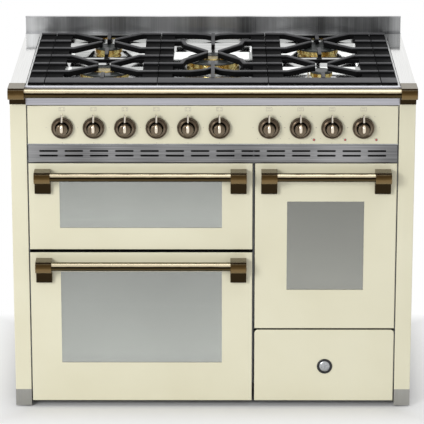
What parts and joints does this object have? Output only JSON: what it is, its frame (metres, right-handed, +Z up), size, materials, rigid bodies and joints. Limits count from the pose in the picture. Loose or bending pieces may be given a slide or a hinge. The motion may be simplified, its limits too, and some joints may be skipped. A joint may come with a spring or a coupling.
{
  "type": "range cooker",
  "caption": "Free-standing range cooker: oven doors that fold down, a storage drawer, turned control knobs, a gas hob with cast pan supports and a handrail.",
  "frame": {"origin": "on the floor, under the middle of the whole cooker, handrail included", "axes": "+X to the right of a person at the hob, -Y out of the door fronts, +Z up"},
  "size_m": [1, 0.665, 0.885],
  "materials": {
    "brushed_steel": "brushed satin",
    "bare_steel": "plain sheet",
    "cream_enamel": "gloss enamel",
    "oven_enamel": "gloss vitreous enamel",
    "door_glass": "polished, grey",
    "bronze": "aged, satin",
    "brass": "machined",
    "burner_enamel": "matt enamel",
    "element_steel": "heat-darkened",
    "cast_iron": "matt enamel"
  },
  "bodies": {
    "cooker": {"back_panel": "bare_steel", "burner_bodies": "brass", "burner_caps": "burner_enamel", "cabinet_frame": "bare_steel", "control_panel": "cream_enamel", "drawer_runners": "bare_steel", "fan_cover": "bare_steel", "fan_motor": "bare_steel", "feet": "brushed_steel", "gas_manifold": "brass", "handrail_bar": "bronze", "handrail_brackets": "bronze", "heating_elements": "element_steel", "hob_top": "brushed_steel", "lower_oven_cavity": "oven_enamel", "oven_shelves": "bare_steel", "oven_switches": "bare_steel", "rear_upstand": "brushed_steel", "right_oven_cavity": "oven_enamel", "side_cappings": "brushed_steel", "side_panels": "cream_enamel", "upper_oven_cavity": "oven_enamel", "vent_strip": "brushed_steel"},
    "upper_door": {"upper_door_panel": "cream_enamel", "upper_door_glass": "door_glass", "upper_door_liner": "oven_enamel", "upper_door_handle_bar": "bronze", "upper_door_handle_brackets": "bronze"},
    "lower_door": {"lower_door_panel": "cream_enamel", "lower_door_glass": "door_glass", "lower_door_liner": "oven_enamel", "lower_door_handle_bar": "bronze", "lower_door_handle_brackets": "bronze"},
    "right_door": {"right_door_panel": "cream_enamel", "right_door_glass": "door_glass", "right_door_liner": "oven_enamel", "right_door_handle_bar": "bronze", "right_door_handle_brackets": "bronze"},
    "drawer": {"drawer_front": "cream_enamel", "drawer_box": "bare_steel"},
    "left_support": {"left_pan_support": "cast_iron"},
    "middle_support": {"middle_pan_support": "cast_iron"},
    "right_support": {"right_pan_support": "cast_iron"},
    "gas_plunger_1": {"valve_plunger_1": "brass"},
    "gas_knob_1": {"gas_knob_1": "bronze"},
    "gas_plunger_2": {"valve_plunger_2": "brass"},
    "gas_knob_2": {"gas_knob_2": "bronze"},
    "gas_plunger_3": {"valve_plunger_3": "brass"},
    "gas_knob_3": {"gas_knob_3": "bronze"},
    "gas_plunger_4": {"valve_plunger_4": "brass"},
    "gas_knob_4": {"gas_knob_4": "bronze"},
    "gas_plunger_5": {"valve_plunger_5": "brass"},
    "gas_knob_5": {"gas_knob_5": "bronze"},
    "gas_plunger_6": {"valve_plunger_6": "brass"},
    "gas_knob_6": {"gas_knob_6": "bronze"},
    "oven_knob_1": {"oven_knob_1": "bronze"},
    "oven_knob_2": {"oven_knob_2": "bronze"},
    "oven_knob_3": {"oven_knob_3": "bronze"},
    "oven_knob_4": {"oven_knob_4": "bronze"},
    "fan": {"oven_fan": "bare_steel"}
  },
  "joints": [
    {"name": "upper_door_hinge", "type": "hinge", "parent": "cooker", "child": "upper_door", "pos_m": [0, -0.2555, 0.442], "axis": [1, 0, 0], "range_deg": [0, 90]},
    {"name": "lower_door_hinge", "type": "hinge", "parent": "cooker", "child": "lower_door", "pos_m": [0, -0.2555, 0.066], "axis": [1, 0, 0], "range_deg": [0, 90]},
    {"name": "right_door_hinge", "type": "hinge", "parent": "cooker", "child": "right_door", "pos_m": [0, -0.2555, 0.234], "axis": [1, 0, 0], "range_deg": [0, 90]},
    {"name": "drawer_slide", "type": "slide", "parent": "cooker", "child": "drawer", "axis": [0, -1, 0], "range_m": [0, 0.29]},
    {"name": "left_support_lift", "type": "slide", "parent": "cooker", "child": "left_support", "axis": [0, 0, 1], "range_m": [0, 0.15]},
    {"name": "middle_support_lift", "type": "slide", "parent": "cooker", "child": "middle_support", "axis": [0, 0, 1], "range_m": [0, 0.15]},
    {"name": "right_support_lift", "type": "slide", "parent": "cooker", "child": "right_support", "axis": [0, 0, 1], "range_m": [0, 0.15]},
    {"name": "gas_push_1", "type": "slide", "parent": "cooker", "child": "gas_plunger_1", "axis": [0, 1, 0], "range_m": [0, 0.004], "stiffness_N_per_m": 800},
    {"name": "gas_turn_1", "type": "hinge", "parent": "gas_plunger_1", "child": "gas_knob_1", "pos_m": [-0.3716, -0.2675, 0.733], "axis": [0, -1, 0], "range_deg": [0, 210]},
    {"name": "gas_push_2", "type": "slide", "parent": "cooker", "child": "gas_plunger_2", "axis": [0, 1, 0], "range_m": [0, 0.004], "stiffness_N_per_m": 800},
    {"name": "gas_turn_2", "type": "hinge", "parent": "gas_plunger_2", "child": "gas_knob_2", "pos_m": [-0.294, -0.2675, 0.733], "axis": [0, -1, 0], "range_deg": [0, 210]},
    {"name": "gas_push_3", "type": "slide", "parent": "cooker", "child": "gas_plunger_3", "axis": [0, 1, 0], "range_m": [0, 0.004], "stiffness_N_per_m": 800},
    {"name": "gas_turn_3", "type": "hinge", "parent": "gas_plunger_3", "child": "gas_knob_3", "pos_m": [-0.2164, -0.2675, 0.733], "axis": [0, -1, 0], "range_deg": [0, 210]},
    {"name": "gas_push_4", "type": "slide", "parent": "cooker", "child": "gas_plunger_4", "axis": [0, 1, 0], "range_m": [0, 0.004], "stiffness_N_per_m": 800},
    {"name": "gas_turn_4", "type": "hinge", "parent": "gas_plunger_4", "child": "gas_knob_4", "pos_m": [-0.1388, -0.2675, 0.733], "axis": [0, -1, 0], "range_deg": [0, 210]},
    {"name": "gas_push_5", "type": "slide", "parent": "cooker", "child": "gas_plunger_5", "axis": [0, 1, 0], "range_m": [0, 0.004], "stiffness_N_per_m": 800},
    {"name": "gas_turn_5", "type": "hinge", "parent": "gas_plunger_5", "child": "gas_knob_5", "pos_m": [-0.0612, -0.2675, 0.733], "axis": [0, -1, 0], "range_deg": [0, 210]},
    {"name": "gas_push_6", "type": "slide", "parent": "cooker", "child": "gas_plunger_6", "axis": [0, 1, 0], "range_m": [0, 0.004], "stiffness_N_per_m": 800},
    {"name": "gas_turn_6", "type": "hinge", "parent": "gas_plunger_6", "child": "gas_knob_6", "pos_m": [0.0164, -0.2675, 0.733], "axis": [0, -1, 0], "range_deg": [0, 210]},
    {"name": "oven_turn_1", "type": "hinge", "parent": "cooker", "child": "oven_knob_1", "pos_m": [0.1388, -0.2675, 0.733], "axis": [0, -1, 0], "range_deg": [-270, 0]},
    {"name": "oven_turn_2", "type": "hinge", "parent": "cooker", "child": "oven_knob_2", "pos_m": [0.2164, -0.2675, 0.733], "axis": [0, -1, 0], "range_deg": [-270, 0]},
    {"name": "oven_turn_3", "type": "hinge", "parent": "cooker", "child": "oven_knob_3", "pos_m": [0.294, -0.2675, 0.733], "axis": [0, -1, 0], "range_deg": [-270, 0]},
    {"name": "oven_turn_4", "type": "hinge", "parent": "cooker", "child": "oven_knob_4", "pos_m": [0.3716, -0.2675, 0.733], "axis": [0, -1, 0], "range_deg": [-270, 0]},
    {"name": "fan_spin", "type": "hinge", "parent": "cooker", "child": "fan", "pos_m": [-0.179, 0.1875, 0.236], "axis": [0, 1, 0], "continuous": true}
  ]
}
